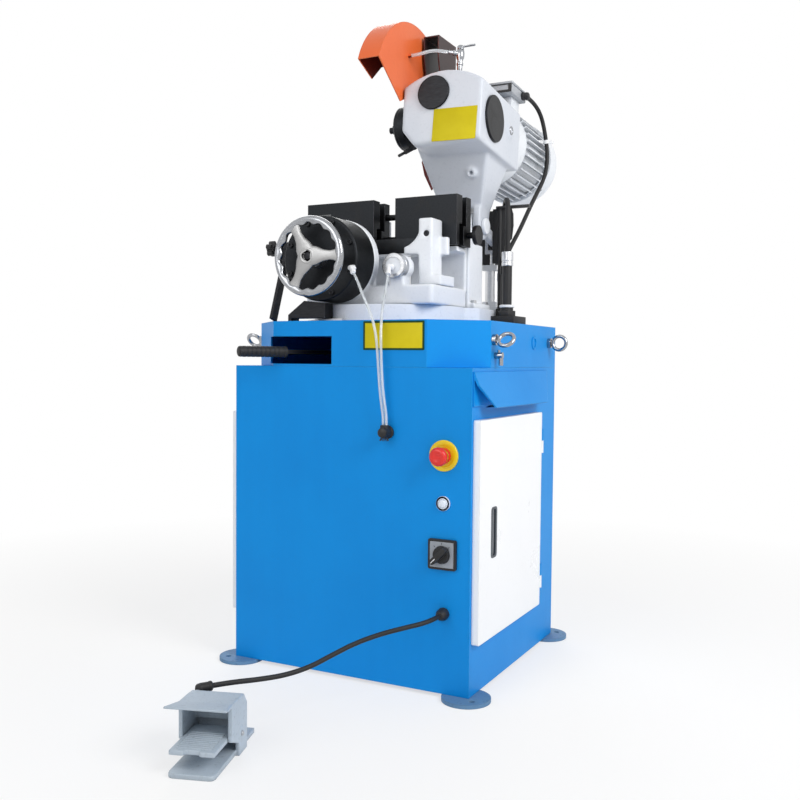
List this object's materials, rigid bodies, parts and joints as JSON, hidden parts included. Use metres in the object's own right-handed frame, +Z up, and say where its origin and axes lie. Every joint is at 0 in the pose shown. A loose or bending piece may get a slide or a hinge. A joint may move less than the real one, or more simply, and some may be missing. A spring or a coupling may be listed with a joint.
{
  "type": "pipe cutting machine",
  "caption": "Swivelling cold-saw pipe cutter on a sheet cabinet: tilting geared head with motor and blade guard, air vise with handwheel, coolant tray, doors and foot pedal.",
  "frame": {"origin": "on the floor under the middle of the cabinet, at the centre of the four anchor holes", "axes": "+Z up, -Y towards the operator at the front, +X to the operator's right"},
  "size_m": [0.702, 1.4149, 1.54],
  "materials": {
    "cabinet_blue": "semi-gloss",
    "machine_white": "semi-gloss",
    "door_white": "semi-gloss",
    "guard_orange": "semi-gloss",
    "bracket_red": "semi-gloss",
    "black_iron": "satin",
    "black_steel": "oiled",
    "black_plastic": "matte",
    "black_rubber": "matte",
    "steel": "ground",
    "aluminium": "satin",
    "chrome": "polished",
    "bronze": "machined",
    "clear_hose": "clear",
    "estop_yellow": "gloss",
    "estop_red": "gloss",
    "button_white": "gloss",
    "gear_grey": "matte",
    "pedal_grey": "hammered",
    "foot_steel": "worn"
  },
  "bodies": {
    "base": {"cabinet_shell": "cabinet_blue", "foot_discs": "foot_steel", "hinge_pins": "steel", "estop_body": "estop_yellow", "switch_body": "black_plastic", "panel_glands": "black_plastic", "electrical_gear": "gear_grey", "coolant_tank": "aluminium", "coolant_pump": "black_plastic", "coolant_tray": "cabinet_blue", "tray_fittings": "steel", "angle_scale": "aluminium", "chip_deflector": "black_steel", "centre_post": "steel", "vise_bed": "machine_white", "vise_cylinder": "black_iron", "rear_jaws": "black_iron", "guide_rods": "steel", "air_hose_left": "clear_hose", "air_hose_right": "clear_hose", "pedal_hood": "pedal_grey", "pedal_cable": "black_rubber"},
    "turntable": {"turntable": "machine_white", "column": "machine_white", "feed_cylinder": "aluminium", "cable_conduits": "aluminium", "arch_hose": "black_rubber"},
    "feed_rod": {"feed_rod": "steel"},
    "head": {"head_casting": "machine_white", "head_covers": "black_steel", "pivot_pin": "steel", "spindle_bearings": "steel", "motor_housing": "machine_white", "fan_cover": "machine_white", "terminal_box": "black_steel", "motor_cable": "black_rubber", "coolant_tap": "chrome", "coolant_hose": "clear_hose", "guard_bracket": "bracket_red"},
    "spindle": {"spindle_shaft": "steel", "blade_flanges": "black_iron", "worm_wheel": "bronze"},
    "worm": {"worm_shaft": "steel"},
    "rotor": {"motor_rotor": "steel"},
    "guard": {"blade_guard": "guard_orange"},
    "tap_lever": {"tap_lever": "chrome"},
    "lock_lever": {"lock_lever": "black_steel"},
    "left_door": {"left_door": "door_white"},
    "right_door": {"right_door": "door_white"},
    "swarf_drawer": {"swarf_drawer": "cabinet_blue"},
    "estop_mushroom": {"estop_mushroom": "estop_red"},
    "push_button": {"push_button": "button_white"},
    "switch_knob": {"switch_knob": "black_plastic"},
    "treadle": {"treadle": "pedal_grey"},
    "stop_arm": {"stop_arm": "black_steel"},
    "stop_knob": {"stop_knob": "black_plastic"},
    "vise_ram": {"vise_ram": "steel"},
    "handwheel": {"handwheel": "chrome"},
    "vise_slide": {"vise_slide": "machine_white", "front_jaws": "black_iron"}
  },
  "joints": [
    {"name": "table_swivel", "type": "hinge", "parent": "base", "child": "turntable", "pos_m": [-0.027, -0.015, 0.8], "axis": [0, 0, 1], "range_deg": [0, 45]},
    {"name": "head_swing", "type": "hinge", "parent": "turntable", "child": "head", "pos_m": [0.096, 0.145, 1.05], "axis": [1, 0, 0], "range_deg": [0, 34], "deforming": ["motor_cable"]},
    {"name": "feed_slide", "type": "slide", "parent": "turntable", "child": "feed_rod", "axis": [0, 0, 1], "range_m": [0, 0.0536]},
    {"name": "worm_spin", "type": "hinge", "parent": "head", "child": "worm", "pos_m": [0.092, 0.06115, 1.34046], "axis": [0, 0.999, -0.0436], "continuous": true},
    {"name": "motor_spin", "type": "hinge", "parent": "head", "child": "rotor", "pos_m": [0.092, 0.05932, 1.2985], "axis": [0, 0.999, -0.0436], "continuous": true},
    {"name": "spindle_spin", "type": "hinge", "parent": "head", "child": "spindle", "pos_m": [0, 0.05897, 1.29051], "axis": [1, 0, 0], "continuous": true},
    {"name": "guard_hinge", "type": "hinge", "parent": "head", "child": "guard", "pos_m": [0, 0.135, 1.512], "axis": [-1, 0, 0], "range_deg": [0, 60], "deforming": ["coolant_hose"]},
    {"name": "tap_turn", "type": "hinge", "parent": "head", "child": "tap_lever", "pos_m": [0.112, 0.07668, 1.47145], "axis": [0, 0.1045, 0.9945], "range_deg": [0, 90]},
    {"name": "lock_lever_turn", "type": "hinge", "parent": "base", "child": "lock_lever", "pos_m": [-0.027, -0.015, 0.73], "axis": [0, 0, 1], "range_deg": [-3, 22]},
    {"name": "left_door_hinge", "type": "hinge", "parent": "base", "child": "left_door", "pos_m": [-0.312, 0.136, 0.354], "axis": [0, 0, -1], "range_deg": [0, 110]},
    {"name": "right_door_hinge", "type": "hinge", "parent": "base", "child": "right_door", "pos_m": [0.312, 0.136, 0.354], "axis": [0, 0, 1], "range_deg": [0, 110]},
    {"name": "drawer_slide", "type": "slide", "parent": "base", "child": "swarf_drawer", "axis": [1, 0, 0], "range_m": [0, 0.3]},
    {"name": "estop_press", "type": "slide", "parent": "base", "child": "estop_mushroom", "axis": [0, 1, 0], "range_m": [0, 0.006]},
    {"name": "button_press", "type": "slide", "parent": "base", "child": "push_button", "axis": [0, 1, 0], "range_m": [0, 0.004], "stiffness_N_per_m": 400},
    {"name": "switch_turn", "type": "hinge", "parent": "base", "child": "switch_knob", "pos_m": [0.238, -0.28, 0.306], "axis": [0, 1, 0], "range_deg": [0, 90]},
    {"name": "treadle_press", "type": "hinge", "parent": "base", "child": "treadle", "pos_m": [-0.00836, -0.72018, 0.04], "axis": [0.9521, 0.3057, 0], "range_deg": [0, 10], "stiffness_Nm_per_rad": 4, "springref_deg": -11.46},
    {"name": "stop_arm_swing", "type": "hinge", "parent": "base", "child": "stop_arm", "pos_m": [-0.265, -0.11, 0.987], "axis": [1, 0, 0], "range_deg": [0, 130]},
    {"name": "stop_knob_turn", "type": "hinge", "parent": "base", "child": "stop_knob", "pos_m": [-0.31, -0.11, 0.987], "axis": [1, 0, 0], "range_deg": [0, 360]},
    {"name": "air_stroke", "type": "slide", "parent": "base", "child": "vise_ram", "axis": [0, 1, 0], "range_m": [0, 0.008]},
    {"name": "jaw_adjust", "type": "slide", "parent": "vise_ram", "child": "vise_slide", "axis": [0, 1, 0], "range_m": [-0.065, 0.016]},
    {"name": "handwheel_turn", "type": "hinge", "parent": "vise_ram", "child": "handwheel", "pos_m": [-0.094, -0.281, 0.943], "axis": [0, 1, 0], "range_deg": [-3910, 970]}
  ],
  "couplings": [
    {"joint": "feed_slide", "follows": "head_swing", "m_per_rad": 0.090161},
    {"joint": "worm_spin", "follows": "motor_spin", "ratio": -0.68},
    {"joint": "spindle_spin", "follows": "motor_spin", "ratio": -0.028333},
    {"joint": "handwheel_turn", "follows": "jaw_adjust", "rad_per_m": 1047.2}
  ]
}
